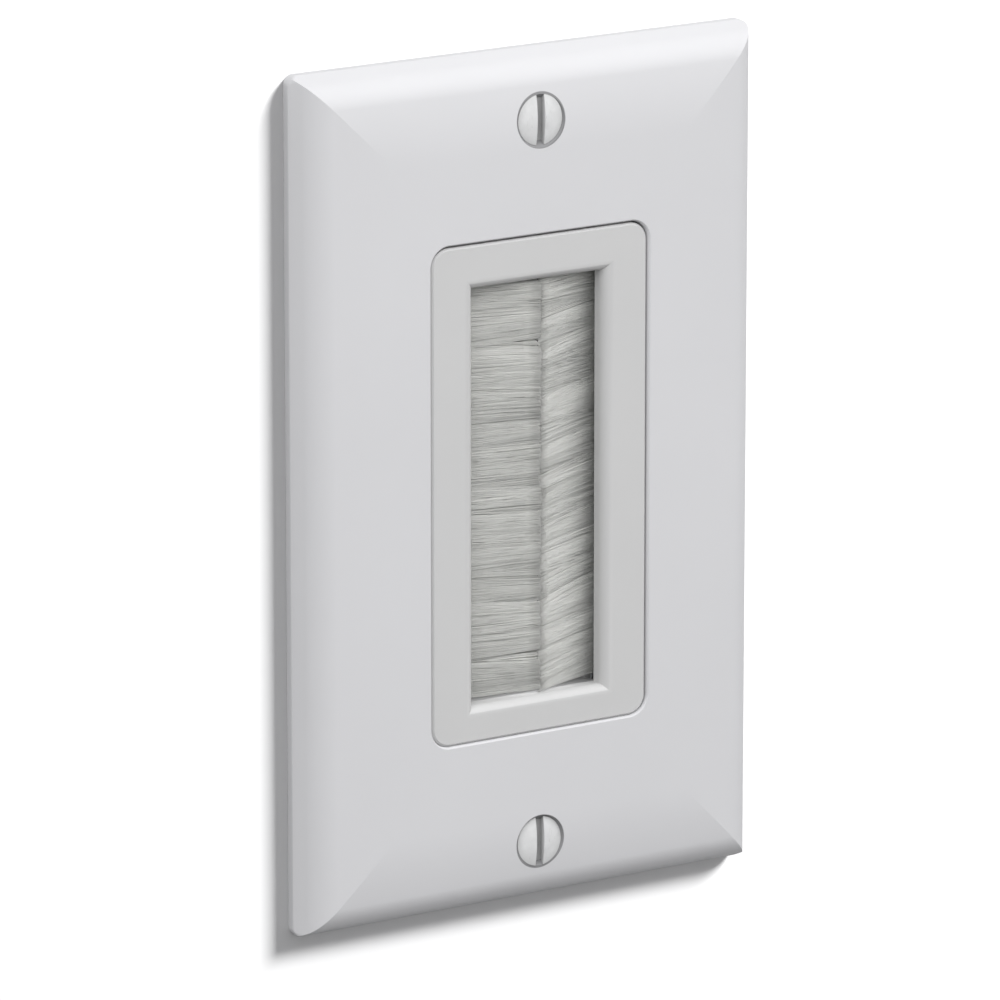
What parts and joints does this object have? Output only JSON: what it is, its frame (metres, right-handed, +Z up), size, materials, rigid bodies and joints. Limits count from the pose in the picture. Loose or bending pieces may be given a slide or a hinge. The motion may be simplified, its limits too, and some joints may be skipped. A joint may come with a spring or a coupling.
{
  "type": "brush cable pass-through wall plate",
  "caption": "Rectangular wall plate with crowned edges and a framed brush window, whose facing bristle strips let cables pass through a wall opening.",
  "frame": {"origin": "middle of the plate on the wall surface, in the plane of the plate's back rim", "axes": "+Z up along the plate's long side, +Y into the wall, +X to the right of a person facing the plate"},
  "size_m": [0.0698, 0.0268, 0.1142],
  "materials": {
    "plate_plastic": "moulded cool white, softly glossy",
    "insert_plastic": "moulded neutral white, satin",
    "painted_screw": "white enamel over steel",
    "zinc_screw": "bright zinc plate",
    "fibre_washer": "pressed brown fibre",
    "channel_metal": "folded mill-finish strip",
    "core_wire": "drawn wire",
    "nylon_bristle": "translucent natural nylon filament"
  },
  "bodies": {
    "root": {"wall_plate": "plate_plastic", "plate_screws": "painted_screw", "box_screws": "zinc_screw", "screw_washers": "fibre_washer", "brush_insert": "insert_plastic", "rear_retainer": "insert_plastic", "left_brush_channel": "channel_metal", "right_brush_channel": "channel_metal", "left_core_wire": "core_wire", "right_core_wire": "core_wire", "left_bristles": "nylon_bristle", "right_bristles": "nylon_bristle"}
  },
  "joints": []
}
